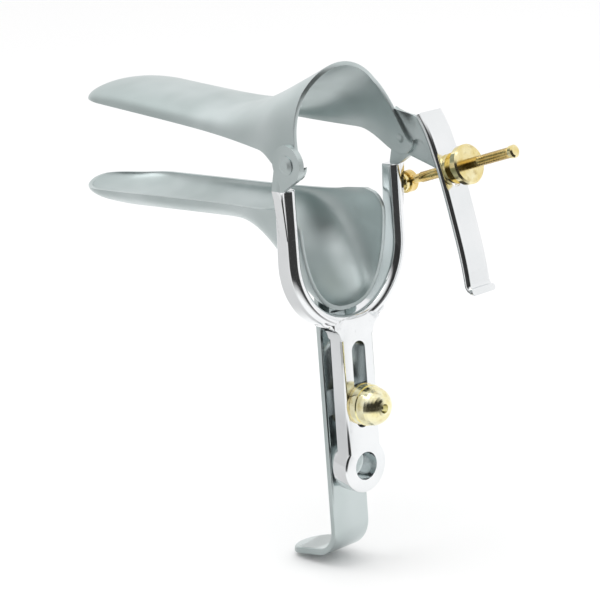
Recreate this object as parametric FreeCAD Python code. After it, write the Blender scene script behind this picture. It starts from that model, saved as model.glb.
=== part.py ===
import FreeCAD, Part
import math
import os
from FreeCAD import Vector

os.makedirs("parts", exist_ok=True)

# Bivalve vaginal speculum, large size, in millimetres.
# The origin is the middle of the hanging eye at the yoke's rear face.
# +X points to the operator, the blades point to -X, +Y is the operator's right, +Z is up.

# Hinge of the upper blade, as it stands in the photograph
hinge_height = 107.3
hinge_setback = 1.9
open_angle = 6.5
yoke_travel = 18.4
closing_gap = 0.5

# Blades: two formed steel shells that meet edge to edge when shut
sheet = 1.4
lower_blade_length = 131.5
upper_blade_length = 125.5
lower_tip_half_width = 17.2
lower_waist_half_width = 16.8
upper_tip_half_width = 16.9
upper_waist_half_width = 16.6
lower_blade_depth = 7.0
upper_blade_depth = 8.5
lower_tip_rounding = 15.0
upper_tip_rounding = 17.0
tip_depth_length = 34.0
edge_rise = 0.6
edge_slope = 0.032

# Collars: the flared rear ends of the shells
lower_flare_start = 44.6
upper_flare_start = 43.5
lower_flare_power = 2.7
upper_flare_power = 2.0
lower_rim_setback = 5.0
collar_side_gap = 2.9
lower_collar_depth = 36.1
lower_collar_fullness = 2.4
upper_flare_end = 1.9
upper_collar_height = 27.3
rim_rear = 4.5
rim_lean = 8.0

# Ears of the upper collar and the wing that carries the lever
ear_radius = 5.7
ear_thick = 1.6
ear_lap = 0.3
wing_top = 8.0
wing_bottom = 9.5
wing_root = 3.0

# Yoke: one forging, a U with two lugs, a slotted bar and a hanging eye
yoke_half_width = 27.3
yoke_depth = 6.5
arm_thick = 4.9
arm_corner = 1.5
lug_radius = 6.3
lug_thick = 2.0
arm_top_drop = 9.0
shoulder_run = 3.0
bar_width = 14.5
bar_thick = 6.3
bar_corner = 1.0
bar_blend = 5.0
slot_width = 6.0
slot_top = 43.4
slot_bottom = 13.6
eye_disc_radius = 9.2
eye_bore_radius = 4.8
eye_edge = 0.8

# Handle of the lower blade: a steel strip with a round foot
stem_width = 15.9
stem_thick = 2.6
stem_gap = 2.7
stem_corner = 0.8
stem_rise = 8.0
foot_drop = 33.0
foot_reach = 18.5
foot_tilt = 11.0
foot_radius = 8.1
foot_thick = 2.4
foot_bend = 6.7

# Clamp stud in the handle and its domed nut
stud_shoulder = 9.0
stud_thread_radius = 2.2
stud_length = 8.0
nut_flange_radius = 6.9
nut_flange_thick = 2.6
nut_dome_radius = 6.6
nut_length = 9.6
nut_hole_radius = 1.6
washer_radius = 7.0
washer_thick = 0.9

# Pivot rivets
rivet_radius = 2.2
rivet_head_radius = 3.1
rivet_head_height = 0.9

# Thumb lever: a curved strap fixed edge-on to the wing
lever_width = 11.0
lever_thick = 2.8
lever_corner = 0.9
lever_top_x = 5.4
lever_top_z = 6.8
lever_knee_x = 13.6
lever_knee_z = -12.0
lever_toe_x = 21.7
lever_toe_z = -47.0
lever_knee_radius = 60.0
curl_radius = 3.5
curl_angle = 100.0
lever_slot_width = 4.2
lever_slot_length = 9.6
lever_slot_shift = 0.7
lever_slot_reach = 15.0

# Eye rod, its anchor pin, stop and nut, all brass
anchor_drop = 16.6
anchor_pin_radius = 1.95
anchor_head_radius = 3.1
anchor_head_height = 1.2
ring_radius = 3.7
ring_thick = 2.9
rod_radius = 1.5
rod_angle = 16.7
rod_length = 51.4
stop_radius = 2.1
stop_length = 2.4
rod_nut_flange_radius = 5.1
rod_nut_flange_thick = 1.6
rod_nut_hub_radius = 3.9
rod_nut_length = 8.4
rod_nut_disc_radius = 6.6
rod_nut_disc_thick = 3.2

# Clearances
flat_gap = 0.1
seat_gap = 0.3
pin_gap = 0.05
slide_gap = 0.1
collar_gap = 1.0

# Places that follow from the sizes above
hinge_x = hinge_setback
hinge_z = hinge_height
stem_rear = -bar_thick - stem_gap
stem_front = stem_rear - stem_thick
lower_rim_x = hinge_x - lower_rim_setback
collar_bottom = hinge_z - yoke_travel + edge_rise - edge_slope * lower_rim_setback - lower_collar_depth
u_inner_radius = yoke_half_width - arm_thick
lower_collar_half_width = u_inner_radius - collar_side_gap
u_centre_z = collar_bottom - collar_gap + u_inner_radius
neck_radius = slot_width / 2 - slide_gap
stud_z = slot_top - slot_width / 2 - slide_gap - yoke_travel
heel_foot_z = stud_z + yoke_travel + stud_shoulder / 2 + seat_gap
ear_outer = yoke_half_width - lug_thick - seat_gap
upper_collar_half_width = ear_outer - ear_lap
lever_inner = ear_outer
lever_mid = lever_inner + lever_width / 2
anchor_x = -yoke_depth / 2
anchor_z = hinge_z - anchor_drop
hinge = Vector(hinge_x, 0, hinge_z)
anchor = Vector(anchor_x, lever_mid, anchor_z)
rod_turn = math.radians(rod_angle)
rod_axis = Vector(math.cos(rod_turn), 0, math.sin(rod_turn))
bow_steps = 16
tip_steps = 7
trough_steps = 5
flare_steps = 8
tip_blunt = math.radians(84)
AXIS_X = Vector(1, 0, 0)
AXIS_Y = Vector(0, 1, 0)
AXIS_Z = Vector(0, 0, 1)


def save(shape, name):
    """Write one piece to its own file."""
    shape.exportStep("parts/" + name + ".step")


def ease(value, power=2.0):
    """Rise from 0 to 1 without a corner at either end; a larger power rises later."""
    value = max(0.0, min(1.0, value))
    return value ** power * (1 + power * (1 - value))


def box_between(low, high):
    """A box given by two opposite corners."""
    size = high - low
    return Part.makeBox(size.x, size.y, size.z, low)


def edge_line(x):
    """Height of the line along which the two blades meet, below the raised hinge."""
    return hinge_z - yoke_travel + edge_rise - edge_slope * (hinge_x - x)


def bow_points(x, half_width, depth, edge, fullness):
    """Points of a blade's bowed section, from one edge round to the other."""
    points = []
    for step in range(bow_steps + 1):
        turn = math.pi * step / bow_steps
        across = math.copysign(abs(math.cos(turn)) ** (2 / fullness), math.cos(turn))
        down = abs(math.sin(turn)) ** (2 / fullness)
        points.append(Vector(x, half_width * across, edge + depth * down))
    return points


def blade_skin(spec, wall, end_x):
    """One skin of a blade and its collar, drawn in by a wall's thickness."""
    tip = hinge_x - spec["length"] + wall
    plan_run = spec["tip_rounding"] - wall
    depth_run = tip_depth_length - wall
    start = tip + plan_run
    flare = hinge_x - spec["flare_start"]
    stations = []
    for step in range(tip_steps):
        turn = tip_blunt * (1 - step / tip_steps)
        stations.append(tip + plan_run * (1 - math.sin(turn)))
    stations += [start + (flare - start) * step / trough_steps for step in range(trough_steps)]
    stations += [flare + (spec["flare_end"] - flare) * step / flare_steps for step in range(flare_steps + 1)]
    if end_x > spec["flare_end"]:
        stations.append(end_x)
    rows = []
    for x in stations:
        along = (x - flare) / (spec["flare_end"] - flare)
        part = ease(along)
        trough = spec["tip_width"] + (spec["waist"] - spec["tip_width"]) * ease((x - start) / (flare - start))
        width = trough + (spec["collar_half_width"] - trough) * part - wall
        depth = spec["depth"] + (spec["collar_depth"] - spec["depth"]) * ease(along, spec["power"]) - wall
        plan = max(0.0, (start - x) / plan_run)
        fall = max(0.0, (stations[0] + depth_run - x) / depth_run)
        width *= math.sqrt(1 - plan ** 2)
        depth *= math.sqrt(max(0.0, 1 - fall ** 2))
        full = 2 + (spec["fullness"] - 2) * part
        rows.append(bow_points(x, width, spec["sign"] * depth, edge_line(x) + spec["lift"], full))
    skin = Part.BSplineSurface()
    skin.interpolate(rows)
    return skin


def border(skin, side, last):
    """One of the four border curves of a skin, as an edge."""
    low_u, high_u, low_v, high_v = skin.bounds()
    if side == "end":
        return skin.uIso(high_u if last else low_u).toShape()
    return skin.vIso(high_v if last else low_v).toShape()


def blade_shell(spec, end_x):
    """Closed solid between the outer and the inner skin of a blade."""
    outer = blade_skin(spec, 0.0, end_x)
    inner = blade_skin(spec, sheet, end_x)
    faces = [outer.toShape(), inner.toShape()]
    for side in ("end", "edge"):
        for last in (False, True):
            faces.append(Part.makeRuledSurface(border(outer, side, last), border(inner, side, last)))
    shell = Part.makeShell(faces)
    shell.sewShape()
    solid = Part.Solid(shell)
    if solid.Volume < 0:
        solid.reverse()
    return solid


def blade_fill(spec, end_x):
    """Closed solid that fills a blade's outer skin."""
    outer = blade_skin(spec, 0.0, end_x)
    ends = [Part.makeLine(border(outer, "end", last).firstVertex().Point,
                          border(outer, "end", last).lastVertex().Point) for last in (False, True)]
    faces = [outer.toShape(), Part.Face(Part.Wire([border(outer, "end", True), ends[1]]))]
    faces.append(Part.makeRuledSurface(border(outer, "edge", False), border(outer, "edge", True)))
    shell = Part.makeShell(faces)
    shell.sewShape()
    solid = Part.Solid(shell)
    if solid.Volume < 0:
        solid.reverse()
    return solid


lower_spec = {
    "sign": -1,
    "length": lower_blade_length,
    "tip_rounding": lower_tip_rounding,
    "tip_width": lower_tip_half_width,
    "waist": lower_waist_half_width,
    "power": lower_flare_power,
    "depth": lower_blade_depth,
    "flare_start": lower_flare_start,
    "flare_end": lower_rim_x,
    "collar_half_width": lower_collar_half_width,
    "collar_depth": lower_collar_depth,
    "fullness": lower_collar_fullness,
    "lift": 0.0,
}
upper_spec = {
    "sign": 1,
    "length": upper_blade_length,
    "tip_rounding": upper_tip_rounding,
    "tip_width": upper_tip_half_width,
    "waist": upper_waist_half_width,
    "power": upper_flare_power,
    "depth": upper_blade_depth,
    "flare_start": upper_flare_start,
    "flare_end": hinge_x - upper_flare_end,
    "collar_half_width": upper_collar_half_width,
    "collar_depth": upper_collar_height,
    "fullness": 2.0,
    "lift": closing_gap,
}


# Lower blade: a trough that flares into a deep collar inside the yoke
lower_filled = blade_fill(lower_spec, lower_rim_x)
lower_blade = blade_shell(lower_spec, lower_rim_x)
save(lower_blade, "lower_blade")


# Upper blade: the same trough turned over, its collar an arch with two ears.
# It is shaped shut, with its hinge lowered by the yoke's travel, and then raised and opened.
shut_hinge = Vector(hinge_x, 0, hinge_z - yoke_travel)


def rim_cutter(drop):
    """Everything behind the leaning rear rim of the arch."""
    foot = Vector(hinge_x + rim_rear, 0, shut_hinge.z)
    head = Vector(hinge_x + rim_rear - rim_lean, 0, shut_hinge.z + upper_collar_height)
    along = (head - foot).normalize() * 60
    corners = [foot - along, foot + along, foot + along + AXIS_X * 60, foot - along + AXIS_X * 60]
    face = Part.Face(Part.makePolygon(corners + [corners[0]]))
    face.translate(Vector(0, -drop, 0))
    return face.extrude(Vector(0, 2 * drop, 0))


def wing_plate():
    """Flat plate from the right ear back to the lever, in the rest position."""
    outline = [
        Vector(hinge_x - wing_root, 0, hinge_z + ear_radius * 0.7),
        Vector(hinge_x + wing_root * 0.7, 0, hinge_z + wing_top + 1.4),
        Vector(hinge_x + lever_front(wing_top - 1.5) + lever_thick * 0.6, 0, hinge_z + wing_top - 1.5),
        Vector(hinge_x + lever_front(-wing_bottom) + lever_thick * 0.6, 0, hinge_z - wing_bottom),
        Vector(hinge_x + wing_root, 0, hinge_z - ear_radius * 0.8),
    ]
    face = Part.Face(Part.makePolygon(outline + [outline[0]]))
    face.translate(Vector(0, ear_outer - ear_thick, 0))
    return face.extrude(Vector(0, ear_thick, 0))


def lever_front(z):
    """How far behind the hinge the lever's front face lies, at a height from the hinge."""
    slope = (lever_knee_x - lever_top_x) / (lever_knee_z - lever_top_z)
    return lever_top_x + slope * (z - lever_top_z)


def raise_and_open(shape):
    """Move a shape from the shut position to the position of the photograph."""
    shape.translate(Vector(0, 0, yoke_travel))
    shape.rotate(hinge, AXIS_Y, open_angle)
    return shape


arch = blade_shell(upper_spec, hinge_x + rim_rear + 3).cut(rim_cutter(40))
arch = raise_and_open(arch)
ears = []
for side in (-1, 1):
    inner = min(side * ear_outer, side * (ear_outer - ear_thick))
    ears.append(Part.makeCylinder(ear_radius, ear_thick, Vector(hinge_x, inner, hinge_z), AXIS_Y))
upper_blade = arch.fuse(ears + [wing_plate()])
pivot_bore = Part.makeCylinder(rivet_radius + pin_gap, 80, Vector(hinge_x, -40, hinge_z), AXIS_Y)
# Inside, the arch is faced flat round each rivet so that the head can turn freely
ear_inner = ear_outer - ear_thick
face_radius = rivet_head_radius + seat_gap
facing = Part.makeCylinder(face_radius, 2 * ear_inner, Vector(hinge_x, -ear_inner, hinge_z), AXIS_Y)
upper_blade = upper_blade.cut([pivot_bore, facing])
save(upper_blade, "upper_blade")


def rounded_rectangle(centre, along, across, length, width, corner):
    """A closed wire: a rectangle with round corners, in the plane of two directions."""
    half_l = length / 2
    half_w = width / 2
    edges = []
    marks = [(1, 1), (-1, 1), (-1, -1), (1, -1)]
    ends = []
    for sx, sy in marks:
        inner = centre + along * (sx * (half_l - corner)) + across * (sy * (half_w - corner))
        out_l = inner + along * (sx * corner)
        out_w = inner + across * (sy * corner)
        middle = inner + (along * sx + across * sy) * (corner * math.sqrt(0.5))
        ends.append((out_l, middle, out_w) if sx == sy else (out_w, middle, out_l))
    for index in range(4):
        start, middle, end = ends[index]
        edges.append(Part.Arc(start, middle, end).toShape())
        edges.append(Part.makeLine(end, ends[(index + 1) % 4][0]))
    return Part.Wire(edges)


def sweep(path, profile):
    """Solid swept along a smooth path."""
    return path.makePipeShell([profile], True, False, 2)


# Yoke: a round-cornered U, swept from lug to lug
arm_mid = yoke_half_width - arm_thick / 2
arm_top = hinge_z - arm_top_drop
mid_x = -yoke_depth / 2
left_top = Vector(mid_x, -arm_mid, arm_top)
left_low = Vector(mid_x, -arm_mid, u_centre_z)
bottom = Vector(mid_x, 0, u_centre_z - arm_mid)
right_low = Vector(mid_x, arm_mid, u_centre_z)
right_top = Vector(mid_x, arm_mid, arm_top)
u_path = Part.Wire([
    Part.makeLine(left_top, left_low),
    Part.Arc(left_low, bottom, right_low).toShape(),
    Part.makeLine(right_low, right_top),
])
u_profile = rounded_rectangle(left_top, AXIS_X, AXIS_Y, yoke_depth, arm_thick, arm_corner)
yoke = sweep(u_path, u_profile)

# Lugs: thin round plates, flush with the outer faces of the arms
neck_top = hinge_z - lug_radius * 0.35
for side in (-1, 1):
    outer = side * yoke_half_width
    inner = side * (yoke_half_width - lug_thick)
    low_y = min(outer, inner)
    disc = Part.makeCylinder(lug_radius, lug_thick, Vector(hinge_x, low_y, hinge_z), AXIS_Y)
    front_top = hinge_x - math.sqrt(lug_radius ** 2 - (lug_radius * 0.35) ** 2)
    outline = [
        Vector(-yoke_depth + arm_corner, low_y, arm_top - shoulder_run),
        Vector(-yoke_depth + arm_corner / 2, low_y, arm_top),
        Vector(front_top, low_y, neck_top),
        Vector(hinge_x, low_y, neck_top),
        Vector(hinge_x + lug_radius * 0.66, low_y, hinge_z - lug_radius * 0.75),
        Vector(-arm_corner / 2, low_y, arm_top),
        Vector(-arm_corner, low_y, arm_top - shoulder_run),
    ]
    neck = Part.Face(Part.makePolygon(outline + [outline[0]])).extrude(Vector(0, lug_thick, 0))
    yoke = yoke.fuse([disc, neck])

# Bar: below the U, its rear face flush with the arms
bar_top = u_centre_z - u_inner_radius - arm_thick / 2
bar = box_between(Vector(-bar_thick, -bar_width / 2, 0), Vector(0, bar_width / 2, bar_top))
bar = bar.makeFillet(bar_corner, [e for e in bar.Edges if abs(e.tangentAt(e.FirstParameter).z) > 0.9])
blend_z = u_centre_z - math.sqrt((yoke_half_width + bar_blend) ** 2 - (bar_width / 2 + bar_blend) ** 2)
blends = []
for side in (-1, 1):
    centre = Vector(0, side * (bar_width / 2 + bar_blend), blend_z)
    away = (Vector(0, 0, u_centre_z) - centre).normalize()
    touch = centre + away * bar_blend
    start = Vector(0, side * bar_width / 2, blend_z)
    middle = centre + (away + Vector(0, -side, 0)).normalize() * bar_blend
    inside = touch + away * (arm_thick * 0.6)
    core = Vector(0, 0, bar_top)
    low = Vector(0, 0, blend_z)
    outline = Part.Wire([
        Part.Arc(start, middle, touch).toShape(),
        Part.makeLine(touch, inside),
        Part.makeLine(inside, core),
        Part.makeLine(core, low),
        Part.makeLine(low, start),
    ])
    web = Part.Face(outline).extrude(Vector(-bar_thick, 0, 0))
    blends.append(web)
# A sloped heel carries the deeper U down to the thinner bar
heel = Part.Face(Part.makePolygon([
    Vector(-yoke_depth + arm_corner, -bar_width / 2 + bar_corner, bar_top),
    Vector(-yoke_depth + arm_corner / 2, -bar_width / 2 + bar_corner, bar_top - arm_thick * 0.35),
    Vector(-bar_thick + 0.2, -bar_width / 2 + bar_corner, heel_foot_z),
    Vector(-bar_thick + 0.2, -bar_width / 2 + bar_corner, bar_top),
    Vector(-yoke_depth + arm_corner, -bar_width / 2 + bar_corner, bar_top),
])).extrude(Vector(0, bar_width - 2 * bar_corner, 0))
pad_thick = bar_thick + stem_gap - seat_gap
eye = Part.makeCylinder(eye_disc_radius, pad_thick, Vector(-pad_thick, 0, 0), AXIS_X)
eye = eye.makeFillet(eye_edge, [e for e in eye.Edges if abs(e.Length - 2 * math.pi * eye_disc_radius) < 0.01])
yoke = yoke.fuse([bar, heel, eye] + blends)
slot = box_between(
    Vector(-20, -slot_width / 2, slot_bottom + slot_width / 2),
    Vector(20, slot_width / 2, slot_top - slot_width / 2))
for end in (slot_bottom + slot_width / 2, slot_top - slot_width / 2):
    slot = slot.fuse(Part.makeCylinder(slot_width / 2, 40, Vector(-20, 0, end), AXIS_X))
yoke = yoke.cut(slot)
yoke = yoke.cut(Part.makeCylinder(eye_bore_radius, 40, Vector(-20, 0, 0), AXIS_X))
yoke = yoke.cut(Part.makeCylinder(rivet_radius, 80, Vector(hinge_x, -40, hinge_z), AXIS_Y))
anchor_start = Vector(anchor_x, u_inner_radius - 1, anchor_z)
yoke = yoke.cut(Part.makeCylinder(anchor_pin_radius, arm_thick + 2, anchor_start, AXIS_Y))
save(yoke.removeSplitter(), "yoke")


# Handle: a strip that hangs from the collar, with a saddle brazed under it and a round foot
stem_mid = stem_rear - stem_thick / 2
foot_slope = math.radians(foot_tilt)
foot_mid = Vector(stem_rear - foot_reach, 0, -foot_drop - foot_thick / 2)


def tangent_arc(corner, back, ahead, radius):
    """Start, middle and end of a round bend at a corner, and where it leaves the two lines."""
    a = (back - corner).normalize()
    b = (ahead - corner).normalize()
    half = a.getAngle(b) / 2
    run = radius / math.tan(half)
    centre = corner + (a + b).normalize() * (radius / math.sin(half))
    return corner + a * run, centre + (corner - centre).normalize() * radius, corner + b * run


corner_low = Vector(stem_mid, 0, foot_mid.z - (stem_mid - foot_mid.x) * math.tan(foot_slope))
stem_head = Vector(stem_mid, 0, collar_bottom + stem_rise)
low_a, low_m, low_b = tangent_arc(corner_low, stem_head, foot_mid, foot_bend)
stem_path = Part.Wire([
    Part.makeLine(stem_head, low_a),
    Part.Arc(low_a, low_m, low_b).toShape(),
    Part.makeLine(low_b, foot_mid),
])
stem_profile = rounded_rectangle(stem_head, AXIS_X, AXIS_Y, stem_thick, stem_width, stem_corner)
handle = sweep(stem_path, stem_profile)
foot_normal = Vector(math.sin(foot_slope), 0, math.cos(foot_slope))
foot = Part.makeCylinder(foot_radius, foot_thick, foot_mid - foot_normal * (foot_thick / 2), foot_normal)
foot = foot.makeFillet(stem_corner, [e for e in foot.Edges if e.Length > 2 * math.pi * foot_radius - 0.01])
handle = handle.fuse(foot)
# The head of the strip is cut to the collar it is brazed to
handle = handle.cut(lower_filled)
handle = max(handle.Solids, key=lambda solid: solid.Volume)
stud_hole = Part.makeCylinder(stud_thread_radius, 20, Vector(stem_front - 5, 0, stud_z), AXIS_X)
handle = handle.cut(stud_hole)
save(handle, "lower_handle")


# Clamp stud: square shoulder in the gap, round neck in the slot, thread behind
shoulder_length = stem_gap - flat_gap
stud = box_between(
    Vector(stem_rear, -stud_shoulder / 2, stud_z - stud_shoulder / 2),
    Vector(stem_rear + shoulder_length, stud_shoulder / 2, stud_z + stud_shoulder / 2))
neck_start = stem_rear + shoulder_length
stud = stud.fuse([
    Part.makeCylinder(stud_thread_radius, stem_thick, Vector(stem_front, 0, stud_z), AXIS_X),
    Part.makeCylinder(neck_radius, bar_thick, Vector(neck_start, 0, stud_z), AXIS_X),
    Part.makeCylinder(stud_thread_radius, stud_length - neck_start, Vector(neck_start, 0, stud_z), AXIS_X),
])
save(stud.removeSplitter(), "clamp_stud")


def spin_solid(points, origin, axis):
    """Solid of revolution from (along, radius) points about an axis."""
    side = AXIS_Y if abs(axis.dot(AXIS_Y)) < 0.9 else AXIS_Z
    corners = [origin + axis * along + side * radius for along, radius in points]
    face = Part.Face(Part.makePolygon(corners + [corners[0]]))
    return face.revolve(origin, axis, 360)


def ring_solid(length, outer, inner, origin, axis):
    """A plain ring or washer."""
    body = Part.makeCylinder(outer, length, origin, axis)
    return body.cut(Part.makeCylinder(inner, length, origin, axis))


# Washer and domed brass nut on the stud
washer_x = flat_gap
washer = ring_solid(washer_thick, washer_radius, stud_thread_radius + pin_gap, Vector(washer_x, 0, stud_z), AXIS_X)
save(washer, "height_washer")
nut_x = washer_x + washer_thick
nut_origin = Vector(nut_x, 0, stud_z)
bore_radius = stud_thread_radius + pin_gap
dome_start = nut_flange_thick
dome_points = []
for step in range(9):
    turn = math.pi / 2 * step / 8
    along = dome_start + 1.0 + (nut_length - dome_start - 1.0) * math.sin(turn)
    radius = nut_hole_radius + (nut_dome_radius - nut_hole_radius) * math.cos(turn)
    dome_points.append((along, radius))
hole_start = stud_length - nut_x + flat_gap
nut_points = [(0, bore_radius), (0, nut_flange_radius), (dome_start, nut_flange_radius), (dome_start, nut_dome_radius)]
nut_points += dome_points + [(hole_start, nut_hole_radius), (hole_start, bore_radius)]
height_nut = spin_solid(nut_points, nut_origin, AXIS_X)
save(height_nut, "height_nut")


# Pivot rivets: one through each lug and ear
for side, name in ((-1, "pivot_rivet_left"), (1, "pivot_rivet_right")):
    start = ear_outer - ear_thick - flat_gap - rivet_head_height
    length = yoke_half_width + rivet_head_height - start
    head = rivet_head_height
    points = [
        (0, 0),
        (0, rivet_head_radius * 0.55),
        (head * 0.7, rivet_head_radius),
        (head, rivet_head_radius),
        (head, rivet_radius),
        (length - head, rivet_radius),
        (length - head, rivet_head_radius),
        (length - head * 0.7, rivet_head_radius),
        (length, rivet_head_radius * 0.55),
        (length, 0),
    ]
    rivet = spin_solid(points, Vector(hinge_x, side * start, hinge_z), AXIS_Y * side)
    save(rivet, name)


# Thumb lever: a strap with a knee, a slot for the rod and a curled thumb rest
top = Vector(hinge_x + lever_top_x, lever_mid, hinge_z + lever_top_z)
knee = Vector(hinge_x + lever_knee_x, lever_mid, hinge_z + lever_knee_z)
toe = Vector(hinge_x + lever_toe_x, lever_mid, hinge_z + lever_toe_z)
upper_dir = (knee - top).normalize()
lower_dir = (toe - knee).normalize()
back = Vector(-upper_dir.z, 0, upper_dir.x)
shift = lever_thick / 2
half_turn = upper_dir.getAngle(lower_dir) / 2
back_low = Vector(-lower_dir.z, 0, lower_dir.x)
knee_normal = (back + back_low).normalize()
knee_mid = knee + knee_normal * (shift / math.cos(half_turn))
top_mid = top + back * shift
toe_mid = toe + back_low * shift
knee_a, knee_m, knee_b = tangent_arc(knee_mid, top_mid, toe_mid, lever_knee_radius)
curl_centre = toe_mid + back_low * curl_radius
curl_mid = curl_centre - back_low * (curl_radius * math.cos(math.radians(curl_angle / 2)))
curl_mid = curl_mid + lower_dir * (curl_radius * math.sin(math.radians(curl_angle / 2)))
curl_end = curl_centre - back_low * (curl_radius * math.cos(math.radians(curl_angle)))
curl_end = curl_end + lower_dir * (curl_radius * math.sin(math.radians(curl_angle)))
lever_path = Part.Wire([
    Part.makeLine(top_mid, knee_a),
    Part.Arc(knee_a, knee_m, knee_b).toShape(),
    Part.makeLine(knee_b, toe_mid),
    Part.Arc(toe_mid, curl_mid, curl_end).toShape(),
])
lever_profile = rounded_rectangle(top_mid, back, AXIS_Y, lever_thick, lever_width, lever_corner)
lever = sweep(lever_path, lever_profile)
# Slot along the strap where the rod passes through
rod_cross = anchor + rod_axis * (knee_m - anchor).dot(rod_axis)
slot_mid = rod_cross - Vector(-rod_axis.z, 0, rod_axis.x) * lever_slot_shift
half_slot = lever_slot_length / 2 - lever_slot_width / 2
slot_cut = box_between(
    Vector(-lever_slot_reach, -lever_slot_width / 2, -half_slot),
    Vector(lever_slot_reach, lever_slot_width / 2, half_slot))
for end in (-half_slot, half_slot):
    slot_cut = slot_cut.fuse(Part.makeCylinder(
        lever_slot_width / 2, 2 * lever_slot_reach, Vector(-lever_slot_reach, 0, end), AXIS_X))
slot_cut.rotate(Vector(0, 0, 0), AXIS_Y, -rod_angle)
slot_cut.translate(slot_mid)
lever = lever.cut(slot_cut)
save(lever, "thumb_lever")


# Anchor pin in the right arm, with a collar under the ring and a head over it
ring_low = lever_mid - ring_thick / 2
pin_tail = u_inner_radius + flat_gap
pin_points = [
    (0, 0),
    (0, anchor_pin_radius),
    (yoke_half_width - pin_tail, anchor_pin_radius),
    (yoke_half_width - pin_tail, anchor_head_radius),
    (ring_low - flat_gap - pin_tail, anchor_head_radius),
    (ring_low - flat_gap - pin_tail, anchor_pin_radius),
    (ring_low + ring_thick + flat_gap - pin_tail, anchor_pin_radius),
    (ring_low + ring_thick + flat_gap - pin_tail, anchor_head_radius),
    (ring_low + ring_thick + flat_gap + anchor_head_height * 0.5 - pin_tail, anchor_head_radius),
    (ring_low + ring_thick + flat_gap + anchor_head_height - pin_tail, anchor_head_radius * 0.6),
    (ring_low + ring_thick + flat_gap + anchor_head_height - pin_tail, 0),
]
anchor_pin = spin_solid(pin_points, Vector(anchor_x, pin_tail, anchor_z), AXIS_Y)
save(anchor_pin, "rod_anchor_pin")


# Eye rod: a ring on the anchor pin and a round rod through the lever
ring_start = Vector(anchor_x, ring_low, anchor_z)
ring = Part.makeCylinder(ring_radius, ring_thick, ring_start, AXIS_Y)
rod_root = anchor + rod_axis * (ring_radius - 1)
rod = Part.makeCylinder(rod_radius, rod_length - stop_length - ring_radius + 1, rod_root, rod_axis)
eye_rod = ring.fuse(rod)
eye_rod = eye_rod.cut(Part.makeCylinder(anchor_pin_radius + pin_gap, ring_thick, ring_start, AXIS_Y))
save(eye_rod.removeSplitter(), "eye_rod")

stop_start = anchor + rod_axis * (rod_length - stop_length)
stop_points = [
    (0, 0),
    (0, rod_radius),
    (stop_length * 0.2, stop_radius),
    (stop_length * 0.8, stop_radius),
    (stop_length, stop_radius * 0.7),
    (stop_length, 0),
]
rod_stop = spin_solid(stop_points, stop_start, rod_axis)
save(rod_stop, "rod_stop")


# Rod nut: a small flange against the lever, a hub and a large thumb disc
rear_offset = (knee_m + knee_normal * shift - anchor).dot(rod_axis)
nut_start = rear_offset + seat_gap
rod_nut_bore = rod_radius + pin_gap
disc_start = rod_nut_length - rod_nut_disc_thick
edge_round = 0.6
rod_nut_points = [
    (0, rod_nut_bore),
    (0, rod_nut_flange_radius - edge_round),
    (edge_round, rod_nut_flange_radius),
    (rod_nut_flange_thick, rod_nut_flange_radius),
    (rod_nut_flange_thick, rod_nut_hub_radius),
    (disc_start, rod_nut_hub_radius),
    (disc_start, rod_nut_disc_radius - edge_round),
    (disc_start + edge_round, rod_nut_disc_radius),
    (rod_nut_length - edge_round, rod_nut_disc_radius),
    (rod_nut_length, rod_nut_disc_radius - edge_round),
    (rod_nut_length, rod_nut_bore),
]
rod_nut = spin_solid(rod_nut_points, anchor + rod_axis * nut_start, rod_axis)
save(rod_nut, "rod_nut")
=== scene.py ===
import math

import bmesh
import bpy
from mathutils import Matrix, Vector


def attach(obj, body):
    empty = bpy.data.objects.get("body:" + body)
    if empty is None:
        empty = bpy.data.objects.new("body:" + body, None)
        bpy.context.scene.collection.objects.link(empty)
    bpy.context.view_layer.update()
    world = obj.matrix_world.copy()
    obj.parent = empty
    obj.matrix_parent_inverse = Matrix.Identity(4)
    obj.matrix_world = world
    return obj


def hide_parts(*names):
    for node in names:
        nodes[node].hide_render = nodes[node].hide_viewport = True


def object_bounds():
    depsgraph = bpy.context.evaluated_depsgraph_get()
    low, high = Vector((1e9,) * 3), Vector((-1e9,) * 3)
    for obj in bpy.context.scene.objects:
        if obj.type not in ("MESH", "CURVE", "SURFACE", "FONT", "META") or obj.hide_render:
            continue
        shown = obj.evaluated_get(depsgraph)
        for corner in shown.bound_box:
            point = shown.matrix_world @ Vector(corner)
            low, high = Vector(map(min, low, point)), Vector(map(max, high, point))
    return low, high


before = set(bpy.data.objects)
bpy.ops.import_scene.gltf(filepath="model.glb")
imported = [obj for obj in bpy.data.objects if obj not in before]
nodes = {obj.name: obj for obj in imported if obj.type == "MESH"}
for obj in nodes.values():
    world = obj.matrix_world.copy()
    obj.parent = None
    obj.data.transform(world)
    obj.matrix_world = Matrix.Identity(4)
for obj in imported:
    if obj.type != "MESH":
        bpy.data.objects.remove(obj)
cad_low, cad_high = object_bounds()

scene = bpy.context.scene
MM = 0.001


# Lower blade: a trough pressed from 1.4 mm stainless sheet and flared into a
# deep collar. It is blasted to a fine satin so that it doesn't dazzle, and its
# edges are rounded over.
class Wire:
    """A value that changes over a surface; sums and products of it become nodes."""

    def __init__(self, finish, socket):
        self.finish = finish
        self.socket = socket

    def _join(self, operation, first, second):
        settings = {"operation": operation}
        node = self.finish.node("ShaderNodeMath", settings, {0: first, 1: second})
        return Wire(self.finish, node.outputs[0])

    def __add__(self, other):
        return self._join("ADD", self, other)

    def __sub__(self, other):
        return self._join("SUBTRACT", self, other)

    def __rsub__(self, other):
        return self._join("SUBTRACT", other, self)

    def __mul__(self, other):
        return self._join("MULTIPLY", self, other)

    __radd__ = __add__
    __rmul__ = __mul__


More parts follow.
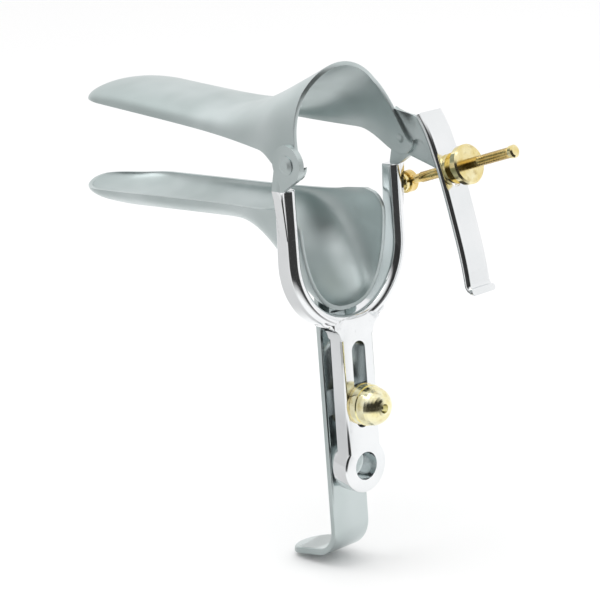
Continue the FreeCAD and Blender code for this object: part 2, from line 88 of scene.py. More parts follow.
class Finish:
    """A material or the surroundings, with one method that adds any node to it."""

    def __init__(self, owner):
        self.material = owner
        owner.use_nodes = True
        self.tree = owner.node_tree
        self.shader = self.tree.nodes.get("Principled BSDF") or self.tree.nodes.get("Background")

    def node(self, kind, settings, values):
        """Add a node: its settings first, then the values or links of its sockets."""
        made = self.tree.nodes.new(kind)
        for key, value in settings.items():
            setattr(made, key, value)
        for key, value in values.items():
            self.feed(made.inputs[key], value)
        return made

    def feed(self, socket, value):
        """Link a socket, or set it where the value is plain."""
        if isinstance(value, Wire):
            value = value.socket
        if isinstance(value, bpy.types.NodeSocket):
            self.tree.links.new(value, socket)
        else:
            socket.default_value = value

    def places(self, stretch):
        """Object coordinates in metres, stretched along the axes."""
        source = self.node("ShaderNodeTexCoord", {}, {}).outputs["Object"]
        values = {"Vector": source, "Scale": stretch}
        return self.node("ShaderNodeMapping", {}, values).outputs[0]

    def grain(self, size, detail, stretch=(1, 1, 1)):
        """Soft noise whose features are about this long, in metres."""
        settings = {"noise_dimensions": "3D"}
        values = {"Vector": self.places(stretch), "Scale": 1 / size, "Detail": detail}
        return Wire(self, self.node("ShaderNodeTexNoise", settings, values).outputs["Fac"])

    def between(self, mask, low, high):
        """The mask stretched so that it runs from 0 at low to 1 at high."""
        values = {"Value": mask, "From Min": low, "From Max": high}
        return Wire(self, self.node("ShaderNodeMapRange", {"clamp": True}, values).outputs[0])

    def blend(self, mask, first, second):
        """A colour between two colours."""
        values = {0: mask, 6: first, 7: second}
        return self.node("ShaderNodeMix", {"data_type": "RGBA"}, values).outputs[2]

    def bump(self, height, distance, strength):
        """A surface raised by a height, for the shader's Normal."""
        values = {"Height": height, "Distance": distance, "Strength": strength}
        return self.node("ShaderNodeBump", {}, values).outputs[0]

    def metal(self, colour, roughness, normal):
        """Give the changing values of a bare metal to its shader."""
        self.feed(self.shader.inputs["Base Color"], colour)
        self.feed(self.shader.inputs["Roughness"], roughness)
        self.feed(self.shader.inputs["Normal"], normal)
        self.shader.inputs["Metallic"].default_value = 1.0
        return self.material


SATIN_LIGHT = (0.605, 0.665, 0.665, 1)
SATIN_SHADE = (0.475, 0.54, 0.535, 1)
SATIN_ROUGHNESS = 0.36
SATIN_CLOUD = 0.022
RUBBED_PATCH = 0.012
BLASTED_GRAIN = 0.00022


def satin_steel(name, rough):
    """Blasted stainless steel: a fine grain, faint clouds and smoother patches from handling."""
    finish = Finish(bpy.data.materials.new(name))
    clouds = finish.grain(SATIN_CLOUD, 2.0)
    blasting = finish.grain(BLASTED_GRAIN, 2.0)
    rubbed = finish.between(finish.grain(RUBBED_PATCH, 4.0, (1, 1, 2.2)), 0.42, 0.66)
    colour = finish.blend(finish.between(clouds, 0.3, 0.7), SATIN_SHADE, SATIN_LIGHT)
    roughness = rough - rubbed * 0.06 + blasting * 0.05
    return finish.metal(colour, roughness, finish.bump(blasting, 0.00003, 0.35))


def smooth(value):
    """Rise from 0 to 1 without a corner at either end."""
    value = max(0.0, min(1.0, value))
    return value * value * (3 - 2 * value)


def past(value):
    """The value where it is above nothing, and nothing below."""
    return max(0.0, value)


def stand_for(form, name, body, node, material):
    """Make a form a piece that rides on a body and may stand for a CAD node."""
    mesh = bpy.data.meshes.new(name)
    form.to_mesh(mesh)
    form.free()
    mesh.materials.append(material)
    mesh.shade_smooth()
    piece = bpy.data.objects.new(name, mesh)
    scene.collection.objects.link(piece)
    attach(piece, body)
    if node:
        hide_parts(node)
    return piece


def round_edges(piece, width, angle):
    """Round the edges of a piece that are sharper than an angle, as polishing does."""
    bevel = piece.modifiers.new("round_edges", "BEVEL")
    bevel.width = width
    bevel.segments = 3
    bevel.limit_method = "ANGLE"
    bevel.angle_limit = math.radians(angle)


SHEET = 1.4
SHEET_EDGE = 0.00055
MERGE = 0.00001


def thicken(piece):
    """Give a formed sheet its thickness, inwards from its outer face, and its rounded edge."""
    wall = piece.modifiers.new("sheet_thickness", "SOLIDIFY")
    wall.thickness = SHEET * MM
    wall.offset = -1
    round_edges(piece, SHEET_EDGE, 50)


ROUND_STEPS = 72
EDGE_CROWDING = 0.7


def formed_sheet(stations, place):
    """A sheet whose rows cross the blade at the stations; each point is placed by a rule."""
    form = bmesh.new()
    rows = len(stations) - 1
    bmesh.ops.create_grid(form, x_segments=rows, y_segments=ROUND_STEPS, size=0.5)
    for point in form.verts:
        row = round((point.co.x + 0.5) * rows)
        share = point.co.y + 0.5
        turn = math.pi * share - EDGE_CROWDING * math.sin(2 * math.pi * share) / 2
        point.co = Vector(place(stations[row], turn)) * MM
    bmesh.ops.remove_doubles(form, verts=form.verts, dist=MERGE)
    bmesh.ops.recalc_face_normals(form, faces=form.faces)
    return form


def spaced(start, end, step):
    """Even stations from start up to end, without the end."""
    count = max(1, round((end - start) / step))
    return [start + (end - start) * index / count for index in range(count)]


TIP_ROWS = 18


def tip_stations(tip, run):
    """Stations that crowd towards the round tip."""
    turns = [math.pi / 2 * index / TIP_ROWS for index in range(TIP_ROWS)]
    return [tip + run * (1 - math.cos(turn)) for turn in turns]


HINGE = Vector((1.9, 0, 107.3))
YOKE_TRAVEL = 18.4
EDGE_SLOPE = 0.032
TIP_FALL = 30.0
FALL_POWER = 1.75

LOWER_TIP = HINGE.x - 131.4
LOWER_RIM = -3.1
LOWER_FLARE = HINGE.x - 51.0
LOWER_PLAN = 19.0
LOWER_PLAN_POWER = 1.9
LOWER_HALF = 17.3
LOWER_NECK_HALF = 16.6
COLLAR_HALF = 19.5
LOWER_DEPTH = 7.3
COLLAR_DEPTH = 36.1
COLLAR_POWER = 3.6
COLLAR_FULLNESS = 0.4
LOWER_EDGE = 0.6
TIP_LIFT, TIP_LIFT_RUN = 1.5, 9.0
RIM_LIFT, RIM_LIFT_RUN = 0.9, 33.0
RIM_CORNER, RIM_CORNER_RUN = 8.0, 26.0


def lower_point(x, turn):
    """A point of the lower blade's outer face, in millimetres."""
    start = LOWER_TIP + LOWER_PLAN
    along = past(min(1.0, (x - LOWER_FLARE) / (LOWER_RIM - LOWER_FLARE)))
    narrowing = smooth((x - start) / (LOWER_FLARE - start))
    trough = LOWER_HALF + (LOWER_NECK_HALF - LOWER_HALF) * narrowing
    width = trough + (COLLAR_HALF - trough) * smooth(along)
    flare = along ** COLLAR_POWER * (1 + COLLAR_POWER * (1 - along))
    depth = LOWER_DEPTH + (COLLAR_DEPTH - LOWER_DEPTH) * flare
    plan = past((start - x) / LOWER_PLAN)
    fall = past((LOWER_TIP + TIP_FALL - x) / TIP_FALL)
    width *= past(1 - plan ** LOWER_PLAN_POWER) ** (1 / LOWER_PLAN_POWER)
    depth *= past(1 - fall ** FALL_POWER) ** (1 / FALL_POWER)
    lift = TIP_LIFT * past((LOWER_TIP + TIP_LIFT_RUN - x) / TIP_LIFT_RUN) ** 2
    lift += RIM_LIFT * past((x + RIM_LIFT_RUN) / RIM_LIFT_RUN) ** 2
    edge = HINGE.z - YOKE_TRAVEL + LOWER_EDGE - EDGE_SLOPE * (HINGE.x - x) + lift
    power = 2 / (2 + COLLAR_FULLNESS * smooth(along))
    across = math.copysign(abs(math.cos(turn)) ** power, math.cos(turn))
    down = depth * abs(math.sin(turn)) ** power
    left = RIM_CORNER - min(RIM_CORNER, down)
    back = RIM_CORNER - math.sqrt(RIM_CORNER ** 2 - left ** 2)
    x -= back * smooth((x - LOWER_RIM + RIM_CORNER_RUN) / RIM_CORNER_RUN)
    return x, width * across, edge - down


lower_rows = tip_stations(LOWER_TIP, LOWER_PLAN)
lower_rows += spaced(LOWER_TIP + LOWER_PLAN, LOWER_FLARE, 4.0)
lower_rows += spaced(LOWER_FLARE, LOWER_RIM, 1.4) + [LOWER_RIM]
lower_form = formed_sheet(lower_rows, lower_point)
blade_finish = satin_steel("satin_steel", SATIN_ROUGHNESS)
lower_sheet = stand_for(
    lower_form, "lower_blade_sheet", "lower_blade", "lower_blade", blade_finish)
thicken(lower_sheet)


# Handle: a steel strip brazed under the collar, rubbed smoother than the blades,
# with a round foot that is bent forward and down. The stud is riveted through it.
HANDLE_ROUGHNESS = 0.22
STEEL_LIGHT = (0.89, 0.90, 0.91, 1)
STEEL_SHADE = (0.82, 0.84, 0.85, 1)
STEEL_ROUGHNESS = 0.09
STEEL_HAZE = 0.016
BUFFED_MARK = 0.0011
FINE_SCRATCH = 0.0016


def polished_steel(name):
    """Buffed stainless steel: near mirror, with a faint haze, polishing marks and scratches."""
    finish = Finish(bpy.data.materials.new(name))
    haze = finish.grain(STEEL_HAZE, 3.0)
    marks = finish.grain(BUFFED_MARK, 3.0, (1, 1, 6))
    scratches = finish.between(finish.grain(FINE_SCRATCH, 6.0, (9, 1, 1)), 0.60, 0.72)
    colour = finish.blend(finish.between(haze, 0.3, 0.7), STEEL_SHADE, STEEL_LIGHT)
    roughness = STEEL_ROUGHNESS + haze * 0.05 + scratches * 0.10
    return finish.metal(colour, roughness, finish.bump(marks + scratches * 0.4, 0.00002, 0.12))


def paint(node, material):
    """Give a CAD node a finish."""
    nodes[node].data.materials.clear()
    nodes[node].data.materials.append(material)


CAD_MERGE = 0.000002
CAD_CREASE = math.radians(28)


def reshape(node, rule, body, material):
    """A copy of a CAD node whose points are moved by a rule, standing for the node."""
    form = bmesh.new()
    form.from_mesh(nodes[node].data)
    bmesh.ops.remove_doubles(form, verts=form.verts, dist=CAD_MERGE)
    for point in form.verts:
        point.co = Vector(rule(*(point.co / MM))) * MM
    piece = stand_for(form, node + "_form", body, node, material)
    piece.data.set_sharp_from_angle(angle=CAD_CREASE)
    return piece


STEM_MID = -10.3
FOOT_X = -27.5
FOOT_RISE = 6.2
FOOT_START, FOOT_RUN = 2.0, 30.0


def foot_rule(x, y, z):
    """Slope the foot down forwards."""
    weight = smooth((FOOT_START - z) / FOOT_RUN)
    share = (x - FOOT_X) / (STEM_MID - FOOT_X)
    return x, y, z + FOOT_RISE * weight * share


bright_finish = polished_steel("polished_steel")
handle_finish = satin_steel("handle_steel", HANDLE_ROUGHNESS)
handle = reshape("lower_handle", foot_rule, "lower_blade", handle_finish)
paint("clamp_stud", bright_finish)


# Yoke: one forging, ground and buffed but for its two satin lugs. Its arms stand
# a little inside the lugs, and it grows deeper towards the bottom of the U.
U_CENTRE = 74.7
ARM_TOP = 98.3
ARM_MID = 24.85
ARM_HALF = 2.45
ARM_SPREAD = 23.65
ARM_PLANE = -3.25
ARM_SHRINK = 0.7
ARM_SINK, ARM_SINK_RUN = 0.6, 3.0
INNER_RADIUS = 22.0
NECK_FOOT = 95.0
NECK_INNER = 25.2
NECK_FRONT, NECK_REAR = -5.8, -0.7
LUG_FOOT = 99.0
WEB_TOP, WEB_HALF = 52.0, 13.5
BAR_TOP = 47.3
BAR_THICK = 6.3
EYE_TOP = 11.0
EYE_SHRINK = 0.1
HAIR = 0.1


def yoke_rule(x, y, z):
    """Sink the plain arms into the rounded ones, and level the eye's front with the bar."""
    if z < EYE_TOP and x < -BAR_THICK:
        x = -BAR_THICK + (x + BAR_THICK) * EYE_SHRINK
    low = Vector((0, y, min(0.0, z - U_CENTRE)))
    web = z < BAR_TOP or (z < WEB_TOP and abs(y) < WEB_HALF)
    lug = z > ARM_TOP + HAIR
    neck = abs(y) > NECK_INNER and z > NECK_FOOT and NECK_FRONT < x < NECK_REAR
    if web or lug or neck or low.length < INNER_RADIUS:
        return x, y, z
    aim = ARM_MID if z < U_CENTRE else ARM_SPREAD
    away = low.normalized() * (aim + (low.length - ARM_MID) * ARM_SHRINK)
    x = ARM_PLANE + (x - ARM_PLANE) * ARM_SHRINK
    if z > U_CENTRE:
        return x, away.y, z - ARM_SINK * smooth((z - NECK_FOOT) / ARM_SINK_RUN)
    inwards = (ARM_SPREAD / ARM_MID) ** smooth(1 - abs(low.z) / ARM_MID)
    return x, away.y * inwards, U_CENTRE + away.z


yoke = reshape("yoke", yoke_rule, "yoke", bright_finish)
yoke.data.materials.append(blade_finish)
for face in yoke.data.polygons:
    face.material_index = int(face.center.z > LUG_FOOT * MM)

FRONT_CORNER = 1.0
ARM_LAND = 0.3
REAR_STEPS = 14
CORNER_STEPS = 5


def arm_section(depth):
    """Points of an arm's section: round at the rear, softly cornered in front."""
    turns = [math.pi * (step / REAR_STEPS - 0.5) for step in range(REAR_STEPS + 1)]
    points = [(ARM_HALF * (math.cos(a) - 1), ARM_HALF * math.sin(a)) for a in turns]
    points.append((-ARM_HALF - ARM_LAND, ARM_HALF))
    middle = (FRONT_CORNER - depth, ARM_HALF - FRONT_CORNER)
    front = [(middle[0] + ARM_LAND, ARM_HALF)]
    for step in range(CORNER_STEPS + 1):
        a = math.pi / 2 * step / CORNER_STEPS
        front.append((middle[0] - FRONT_CORNER * math.sin(a),
                      middle[1] + FRONT_CORNER * math.cos(a)))
    points += front + [(x, -off) for x, off in reversed(front)]
    points.append((-ARM_HALF - ARM_LAND, -ARM_HALF))
    return points + points[:1]


STRAIGHT_STEPS = 10
BEND_STEPS = 48


def arm_rows():
    """Middle points and outward directions of the U, from the left arm's top to the right's."""
    fall = (ARM_TOP - U_CENTRE) / STRAIGHT_STEPS
    rows = [(-ARM_SPREAD, ARM_TOP - step * fall, -1, 0) for step in range(STRAIGHT_STEPS)]
    for step in range(BEND_STEPS + 1):
        turn = math.pi * step / BEND_STEPS
        y, z = -math.cos(turn), -math.sin(turn)
        rows.append((ARM_SPREAD * y, U_CENTRE + ARM_MID * z, y, z))
    left = rows[:STRAIGHT_STEPS]
    return rows + [(-y, z, -out_y, out_z) for y, z, out_y, out_z in reversed(left)]


def swept(rows, sections):
    """A solid through closed sections; a row is its middle and its two directions."""
    form = bmesh.new()
    last_row = len(rows) - 1
    last_column = len(sections[0]) - 1
    bmesh.ops.create_grid(form, x_segments=last_row, y_segments=last_column, size=0.5)
    for point in form.verts:
        row = round((point.co.x + 0.5) * last_row)
        first, second = sections[row][round((point.co.y + 0.5) * last_column)]
        middle, first_way, second_way = rows[row]
        point.co = (middle + first_way * first + second_way * second) * MM
    bmesh.ops.remove_doubles(form, verts=form.verts, dist=MERGE)
    bmesh.ops.holes_fill(form, edges=[edge for edge in form.edges if edge.is_boundary])
    bmesh.ops.recalc_face_normals(form, faces=form.faces)
    return form


U_BOTTOM = U_CENTRE - ARM_MID
DEPTH_LOW, DEPTH_TOP = 8.7, 6.0
ARM_EDGE = 0.0004
arm_frames = []
arm_sections = []
for y, z, out_y, out_z in arm_rows():
    arm_frames.append((Vector((0, y, z)), Vector((1, 0, 0)), Vector((0, out_y, out_z))))
    rise = past((z - U_BOTTOM) / (ARM_TOP - U_BOTTOM))
    arm_sections.append(arm_section(DEPTH_LOW + (DEPTH_TOP - DEPTH_LOW) * rise))
arm_form = swept(arm_frames, arm_sections)
yoke_arms = stand_for(arm_form, "yoke_arms", "yoke", None, bright_finish)
yoke_arms.data.set_sharp_from_angle(angle=math.radians(50))
round_edges(yoke_arms, ARM_EDGE, 60)


# Upper blade: the same satin sheet turned over. Its collar is an arch that
# leans forward, with two round ears that hang on the rivets, and a wing is
# brazed to the right ear to carry the lever.
OPEN_ANGLE = math.radians(6.5)
UPPER_TIP = HINGE.x - 125.5
UPPER_PLAN = 17.0
UPPER_NECK = -43.0
UPPER_HALF = 16.9
UPPER_NECK_HALF = 16.3
UPPER_DEPTH = 7.6
UPPER_EDGE = 1.1
UPPER_DROOP, UPPER_DROOP_RUN = 1.8, 11.0
WIDTH_FLARE = (38.0, 0.235, 22.0)
DEPTH_FLARE = (34.5, 0.60, 11.0)
EAR_RADIUS = 5.7
EAR_RUN = 18.0
EAR_FACE = 24.7
ARCH_HEIGHT, LEAN_HEIGHT = 27.3, 21.0
RIM_FRONT = -5.0
RIM_BELLY = 0.15
RIM_RUN = 16.0


def soft_slope(x, flare):
    """Nothing far before the flare, then a straight slope, with a soft bend between them."""
    before, steep, soft = flare
    run = x + before
    return steep * (math.sqrt(run * run + soft * soft) + run) / 2


def upper_point(x, turn):
    """A point of the upper blade's outer face, as it stands in the photograph."""
    start = UPPER_TIP + UPPER_PLAN
    shut_z = HINGE.z - YOKE_TRAVEL
    lean = past(1 - ARCH_HEIGHT * math.sin(turn) / LEAN_HEIGHT)
    lean -= RIM_BELLY * math.sin(math.pi * lean)
    rear = RIM_FRONT + (EAR_RADIUS - RIM_FRONT) * lean
    if x > HINGE.x - RIM_RUN:
        into = (x - HINGE.x + RIM_RUN) / (EAR_RADIUS + RIM_RUN)
        x = HINGE.x - RIM_RUN + into * (rear + RIM_RUN)
    narrowing = smooth((x - start) / (UPPER_NECK - start))
    trough = UPPER_HALF + (UPPER_NECK_HALF - UPPER_HALF) * narrowing
    spare = EAR_FACE - trough - soft_slope(x, WIDTH_FLARE)
    width = EAR_FACE - math.log1p(math.exp(2 * spare)) / 2 + HAIR
    depth = UPPER_DEPTH + soft_slope(x, DEPTH_FLARE)
    plan = past((start - x) / UPPER_PLAN)
    fall = past((UPPER_TIP + TIP_FALL - x) / TIP_FALL)
    width *= math.sqrt(past(1 - plan ** 2))
    depth *= past(1 - fall ** FALL_POWER) ** (1 / FALL_POWER)
    droop = UPPER_DROOP * past((UPPER_TIP + UPPER_DROOP_RUN - x) / UPPER_DROOP_RUN) ** 2
    run = x - HINGE.x
    line = UPPER_EDGE + EDGE_SLOPE * run
    if run < 0:
        edge = line - (EAR_RADIUS + UPPER_EDGE) * smooth(1 + run / EAR_RUN)
    else:
        edge = -math.sqrt(past(EAR_RADIUS ** 2 - run ** 2))
    rise = edge + (line + depth - edge) * math.sin(turn) - droop
    turned_x = run * math.cos(OPEN_ANGLE) + rise * math.sin(OPEN_ANGLE)
    turned_z = rise * math.cos(OPEN_ANGLE) - run * math.sin(OPEN_ANGLE)
    return HINGE.x + turned_x, width * math.cos(turn), HINGE.z + turned_z


FLARE_START = -44.0
EAR_ROWS = 12
upper_rows = tip_stations(UPPER_TIP, UPPER_PLAN)
upper_rows += spaced(UPPER_TIP + UPPER_PLAN, FLARE_START, 4.0)
upper_rows += spaced(FLARE_START, HINGE.x - EAR_RADIUS, 1.6)
upper_rows += spaced(HINGE.x - EAR_RADIUS, HINGE.x, 0.8)
for index in range(EAR_ROWS + 1):
    upper_rows.append(HINGE.x + EAR_RADIUS * math.sin(math.pi / 2 * index / EAR_ROWS))
upper_form = formed_sheet(upper_rows, upper_point)
upper_sheet = stand_for(
    upper_form, "upper_blade_sheet", "upper_blade", "upper_blade", blade_finish)
thicken(upper_sheet)

LEVER_KNOTS = [(0.8, 13.5), (5.4, 6.9), (9.5, 0.2), (14.0, -12.0),
               (18.0, -25.5), (21.3, -38.0), (23.0, -47.5), (23.6, -56.0)]


def lever_line(share):
    """A point of the lever's front face in side view, from the hinge, on a smooth line."""
    spans = len(LEVER_KNOTS) - 3
    span = min(int(share * spans), spans - 1)
    t = share * spans - span
    weights = (-t + 2 * t * t - t ** 3, 2 - 5 * t * t + 3 * t ** 3,
               t + 4 * t * t - 3 * t ** 3, t ** 3 - t * t)
    near = list(zip(weights, LEVER_KNOTS[span:span + 4]))
    return tuple(sum(weight * knot[axis] for weight, knot in near) / 2 for axis in (0, 1))


WING_OUTER = 24.98
WING_ROWS = 20
WING_COLUMNS = 12
WING_EAR_SHARE = 0.35
WING_EAR_TURN = math.radians(-70)
WING_RIM_TURN = 0.47
WING_LEVER_SHARE = 0.36
WING_LAP = 0.8
WING_SINK = 0.6
WING_BEND = 1.2


def wing_front(share):
    """A point of the ear's and the arch's edge, from the ear's bottom up along the rim."""
    rim = (share - WING_EAR_SHARE) / (1 - WING_EAR_SHARE)
    if rim < 0:
        low = WING_EAR_TURN * (1 - share / WING_EAR_SHARE)
        front = Vector(upper_point(HINGE.x + EAR_RADIUS * math.cos(low), 0.0))
    else:
        front = Vector(upper_point(HINGE.x + EAR_RADIUS, WING_RIM_TURN * rim))
    front.x -= WING_SINK * (1 - share ** 3)
    front.z -= WING_LAP * share ** 2
    return front


def wing_rear(share):
    """A point where the wing meets the lever's inner edge."""
    x, z = lever_line(WING_LEVER_SHARE * (1 - share))
    return Vector((HINGE.x + x + WING_LAP, WING_OUTER, HINGE.z + z))


wing_form = bmesh.new()
bmesh.ops.create_grid(wing_form, x_segments=WING_COLUMNS, y_segments=WING_ROWS, size=0.5)
for point in wing_form.verts:
    share = point.co.x + 0.5
    front = wing_front(point.co.y + 0.5)
    rear = wing_rear(point.co.y + 0.5)
    made = front.lerp(rear, share)
    made.y = front.y + (rear.y - front.y) * smooth(share * WING_BEND)
    point.co = made * MM
bmesh.ops.recalc_face_normals(wing_form, faces=wing_form.faces)
wing = stand_for(wing_form, "upper_blade_wing", "upper_blade", None, blade_finish)
thicken(wing)


# Rivets: turned steel pins on which the upper blade hangs, peened over on both
# sides and blasted with the sheets. The inner head of the right one is small.
RIVET_FACE = 23.35
RIVET_HEAD = 0.6


def rivet_rule(x, y, z):
    """Make the inner head of the right rivet small and flat."""
    if y < RIVET_FACE:
        heart = Vector((HINGE.x, RIVET_FACE, HINGE.z))
        return heart + (Vector((x, y, z)) - heart) * RIVET_HEAD
    return x, y, z


paint("pivot_rivet_left", blade_finish)
rivet = reshape("pivot_rivet_right", rivet_rule, "yoke", blade_finish)


# Thumb lever: a buffed steel strap with rounded edges, brazed to the wing of
# the upper blade. The rod passes through its slot, and its end is curled back.
LEVER_MID = 30.5
LEVER_HALF = 5.5
LEVER_THICK = 2.4
LEVER_LAND = 0.3
LEVER_EDGE = 0.0003
LEVER_ROWS = 40
CURL_RADIUS = 3.6
CURL_ANGLE = math.radians(98)
CURL_ROWS = 12
STRAP_STEPS = 12
lever_marks = [lever_line(step / LEVER_ROWS) for step in range(LEVER_ROWS + 1)]
lever_rows = []
for index, (x, z) in enumerate(lever_marks):
    ahead = lever_marks[min(index + 1, LEVER_ROWS)]
    behind = lever_marks[max(index - 1, 0)]
    run = Vector((ahead[0] - behind[0], 0, ahead[1] - behind[1])).normalized()
    place = Vector((HINGE.x + x, LEVER_MID, HINGE.z + z))
    lever_rows.append((place, Vector((0, 1, 0)), Vector((-run.z, 0, run.x))))
place, across, back = lever_rows[-1]
curl_centre = place + back * CURL_RADIUS
for step in range(1, CURL_ROWS + 1):
    turned = Matrix.Rotation(-CURL_ANGLE * step / CURL_ROWS, 3, "Y") @ back
    lever_rows.append((curl_centre - turned * CURL_RADIUS, across, turned))
half = LEVER_THICK / 2
flat = LEVER_HALF - half
strap = [(flat - LEVER_LAND, 0)]
for step in range(STRAP_STEPS + 1):
    turn = math.pi * (step / STRAP_STEPS - 0.5)
    strap.append((flat + half * math.cos(turn), half + half * math.sin(turn)))
strap.append((flat - LEVER_LAND, LEVER_THICK))
strap += [(-x, z) for x, z in reversed(strap)]
lever_form = swept(lever_rows, [strap + strap[:1]] * len(lever_rows))
lever = stand_for(lever_form, "thumb_lever_strap", "upper_blade", "thumb_lever", bright_finish)

SLOT_RADIUS = 2.1
SLOT_STRETCH = 2.7
SLOT_DEPTH = 16.0
SLOT_LEAN = Matrix.Rotation(math.radians(-16.7), 3, "Y")
SLOT_PLACE = Vector((HINGE.x + 15.4, LEVER_MID, HINGE.z - 11.6))
slot_form = bmesh.new()
bmesh.ops.create_cone(slot_form, cap_ends=True, segments=32,
                      radius1=SLOT_RADIUS, radius2=SLOT_RADIUS, depth=SLOT_DEPTH)
for point in slot_form.verts:
    if abs(point.co.y) > 0.01:
        point.co.y += math.copysign(SLOT_STRETCH, point.co.y)
    point.co = (SLOT_LEAN @ Vector((point.co.z, point.co.x, point.co.y)) + SLOT_PLACE) * MM
slot_mesh = bpy.data.meshes.new("lever_slot")
slot_form.to_mesh(slot_mesh)
slot_form.free()
slot_cutter = bpy.data.objects.new("lever_slot", slot_mesh)
scene.collection.objects.link(slot_cutter)
opening = lever.modifiers.new("slot", "BOOLEAN")
opening.operation = "DIFFERENCE"
opening.solver = "EXACT"
opening.object = slot_cutter
bpy.context.view_layer.update()
slotted_lever = lever.evaluated_get(bpy.context.evaluated_depsgraph_get())
slotted_mesh = bpy.data.meshes.new_from_object(slotted_lever)
lever.modifiers.clear()
lever.data = slotted_mesh
bpy.data.objects.remove(slot_cutter)
slotted_mesh.set_sharp_from_angle(angle=math.radians(50))
round_edges(lever, LEVER_EDGE, 60)


# Brass parts: the eye rod with its pin and stop, its nut, and the domed nut of
# the stud with its washer. They are turned, polished and lacquered.
BRASS_LIGHT = (0.93, 0.85, 0.54, 1)
BRASS_SHADE = (0.80, 0.65, 0.27, 1)
BRASS_DULL = (0.55, 0.38, 0.11, 1)
PALE_LIGHT = (0.96, 0.93, 0.68, 1)
PALE_SHADE = (0.88, 0.80, 0.44, 1)
ROD_LIGHT = (0.86, 0.68, 0.30, 1)
ROD_SHADE = (0.66, 0.44, 0.13, 1)
BRASS_CLOUD = 0.004
TARNISH_SPOT = 0.0018
TURNED_GRAIN = 0.0004


def polished_brass(name, light, shade):
    """Polished brass: warm, with slight tarnish in clouds and fine wear."""
    finish = Finish(bpy.data.materials.new(name))
    clouds = finish.between(finish.grain(BRASS_CLOUD, 3.0), 0.35, 0.7)
    tarnish = finish.between(finish.grain(TARNISH_SPOT, 5.0), 0.56, 0.75)
    fine = finish.grain(TURNED_GRAIN, 2.0)
    colour = finish.blend(clouds, shade, light)
    colour = finish.blend(tarnish * 0.5, colour, BRASS_DULL)
    roughness = 0.13 + clouds * 0.05 + tarnish * 0.15
    return finish.metal(colour, roughness, finish.bump(fine, 0.00002, 0.15))


brass_finish = polished_brass("polished_brass", BRASS_LIGHT, BRASS_SHADE)
rod_finish = polished_brass("rod_brass", ROD_LIGHT, ROD_SHADE)
pale_finish = polished_brass("pale_brass", PALE_LIGHT, PALE_SHADE)
for name in ("rod_anchor_pin", "rod_stop", "rod_nut", "height_washer"):
    paint(name, brass_finish)
paint("eye_rod", rod_finish)
paint("height_nut", pale_finish)


# Rod thread: a fine thread cut into the brass rod from near its ring to its
# stop, for the nut that sets the lever. It is drawn as close ridges.
ROD_START = Vector((-3.25, 30.5, 90.7))
ROD_AXIS = Vector((0.957822, 0, 0.287361))
ROD_RADIUS = 1.5
THREAD_FROM, THREAD_TO = 7.0, 49.0
THREAD_PITCH = 1.1
THREAD_DEPTH = 0.28
THREAD_ROOT = -0.05
THREAD_SIDES = 24
thread_form = bmesh.new()
half_turns = 2 * round((THREAD_TO - THREAD_FROM) / THREAD_PITCH)
outline = []
for index in range(half_turns + 1):
    along = THREAD_FROM + (THREAD_TO - THREAD_FROM) * index / half_turns
    out = ROD_RADIUS + (THREAD_DEPTH if index % 2 else THREAD_ROOT)
    place = ROD_START + ROD_AXIS * along + Vector((0, out, 0))
    outline.append(thread_form.verts.new(place * MM))
outline_edges = [thread_form.edges.new(pair) for pair in zip(outline, outline[1:])]
bmesh.ops.spin(thread_form, geom=outline + outline_edges, cent=ROD_START * MM, axis=ROD_AXIS,
               dvec=(0, 0, 0), angle=2 * math.pi, steps=THREAD_SIDES, use_merge=True)
bmesh.ops.recalc_face_normals(thread_form, faces=thread_form.faces)
rod_thread = stand_for(thread_form, "rod_thread", "eye_rod", None, rod_finish)


# Studio: a pale floor under the foot, a white surround and a soft lamp. The polished faces also
# see the dark room in front of the object. The surround is darker there as light, and the floor
# away from the foot carries a painted dark reflection of the room that only glossy rays see.
FLOOR_SIZE = 6.0
FLOOR_TONE = (0.97, 0.97, 0.97, 1)
PAINTED_REFLECTION_RANGE = (0.10, 0.20)
BLACK = (0, 0, 0, 1)
ROOM_SIDE = (0.883, -0.469, 0)
ROOM_EDGE = (0.37, 0.50)
ROOM_DARK = 0.97
ROOM_CEILING = (0.45, 0.75)
WALL_SIDE = (-0.75, -0.66, 0)
WALL_EDGE = (0.55, 0.9)
WALL_DARK = 0.34
floor_mesh = bpy.data.meshes.new("floor")
floor_form = bmesh.new()
bmesh.ops.create_grid(floor_form, x_segments=1, y_segments=1, size=FLOOR_SIZE)
bmesh.ops.translate(floor_form, verts=floor_form.verts, vec=(0, 0, cad_low.z))
floor_form.to_mesh(floor_mesh)
floor_form.free()
floor = bpy.data.objects.new("floor", floor_mesh)
scene.collection.objects.link(floor)


def darkness(finish, way, far):
    """How dark the surroundings are in a direction, seen in metal: a dark room, a grey wall. In
    the surround this is light; in the floor's colour it is a painted dark reflection.
    """
    sides = []
    for side in (ROOM_SIDE, WALL_SIDE):
        dot = finish.node("ShaderNodeVectorMath", {"operation": "DOT_PRODUCT"}, {0: way, 1: side})
        sides.append(Wire(finish, dot.outputs["Value"]))
    room = finish.between(sides[0], *ROOM_EDGE) * far
    wall = finish.between(sides[1], *WALL_EDGE) * WALL_DARK
    metal = Wire(finish, finish.node("ShaderNodeLightPath", {}, {}).outputs["Is Glossy Ray"])
    return (room * ROOM_DARK + wall * (1 - room)) * metal


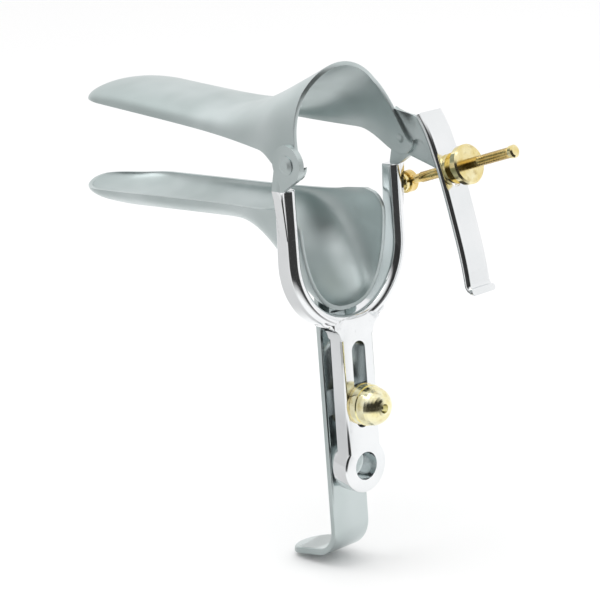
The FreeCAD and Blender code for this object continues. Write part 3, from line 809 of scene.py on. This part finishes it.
floor_finish = Finish(bpy.data.materials.new("pale_floor_painted_reflection"))
spot = floor_finish.places((1, 1, 0))
spot_way = floor_finish.node("ShaderNodeVectorMath", {"operation": "NORMALIZE"}, {0: spot})
spot_length = floor_finish.node("ShaderNodeVectorMath", {"operation": "LENGTH"}, {0: spot})
# Painted dark reflection: away from the foot on the room side, the floor's colour turns black for
# glossy rays only, so the metal reflects a dark room.
painted_reflection_reach = floor_finish.between(Wire(floor_finish, spot_length.outputs["Value"]), *PAINTED_REFLECTION_RANGE)
floor_painted_reflection = darkness(floor_finish, spot_way.outputs[0], painted_reflection_reach)
floor_colour_and_painted_reflection = floor_finish.blend(floor_painted_reflection, FLOOR_TONE, BLACK)
floor_finish.feed(floor_finish.shader.inputs["Base Color"], floor_colour_and_painted_reflection)
floor_finish.shader.inputs["Roughness"].default_value = 0.9
floor_finish.shader.inputs["Specular IOR Level"].default_value = 0.1
floor_mesh.materials.append(floor_finish.material)

studio = Finish(bpy.data.worlds.new("studio"))
scene.world = studio.material
way = studio.node("ShaderNodeTexCoord", {}, {}).outputs["Generated"]
rise = Wire(studio, studio.node("ShaderNodeSeparateXYZ", {}, {0: way}).outputs["Z"])
below = 1 - studio.between(rise, *ROOM_CEILING)
studio.feed(studio.shader.inputs["Strength"], 1 - darkness(studio, way, below))
studio.shader.inputs["Color"].default_value = (1, 1, 1, 1)

LAMP_PLACE = Vector((-0.2, -0.3, 1.1))
LAMP_AIM = Vector((0, 0, 0.06))
LAMP_SIZE = 0.9
LAMP_WATTS = 3.0
lamp_data = bpy.data.lights.new("key", "AREA")
lamp_data.energy = LAMP_WATTS
lamp_data.size = LAMP_SIZE
lamp = bpy.data.objects.new("key", lamp_data)
lamp.location = LAMP_PLACE
lamp.rotation_euler = (LAMP_AIM - LAMP_PLACE).to_track_quat("-Z", "Y").to_euler()
scene.collection.objects.link(lamp)


# Camera: it stands behind the object, to its left and a little above it, where
# the photograph was taken from, and is turned slightly about its own axis.
EYE = Vector((0.5052, -0.4683, 0.2386))
TARGET = Vector((-0.0271, 0, 0.05335))
FOCAL_PIXELS = 2181.38
IMAGE_PIXELS = 600
SENSOR = 36.0
ROLL = math.radians(-4.35)
look = (TARGET - EYE).normalized()
side = look.cross(Vector((0, 0, 1))).normalized()
top = side.cross(look)
right = side * math.cos(ROLL) + top * math.sin(ROLL)
up = top * math.cos(ROLL) - side * math.sin(ROLL)
camera_data = bpy.data.cameras.new("camera")
camera_data.sensor_width = SENSOR
camera_data.lens = FOCAL_PIXELS * SENSOR / IMAGE_PIXELS
camera = bpy.data.objects.new("camera", camera_data)
turned = Matrix((right, up, -look)).transposed().to_4x4()
camera.matrix_world = Matrix.Translation(EYE) @ turned
scene.collection.objects.link(camera)
scene.camera = camera
scene.view_settings.view_transform = "Standard"
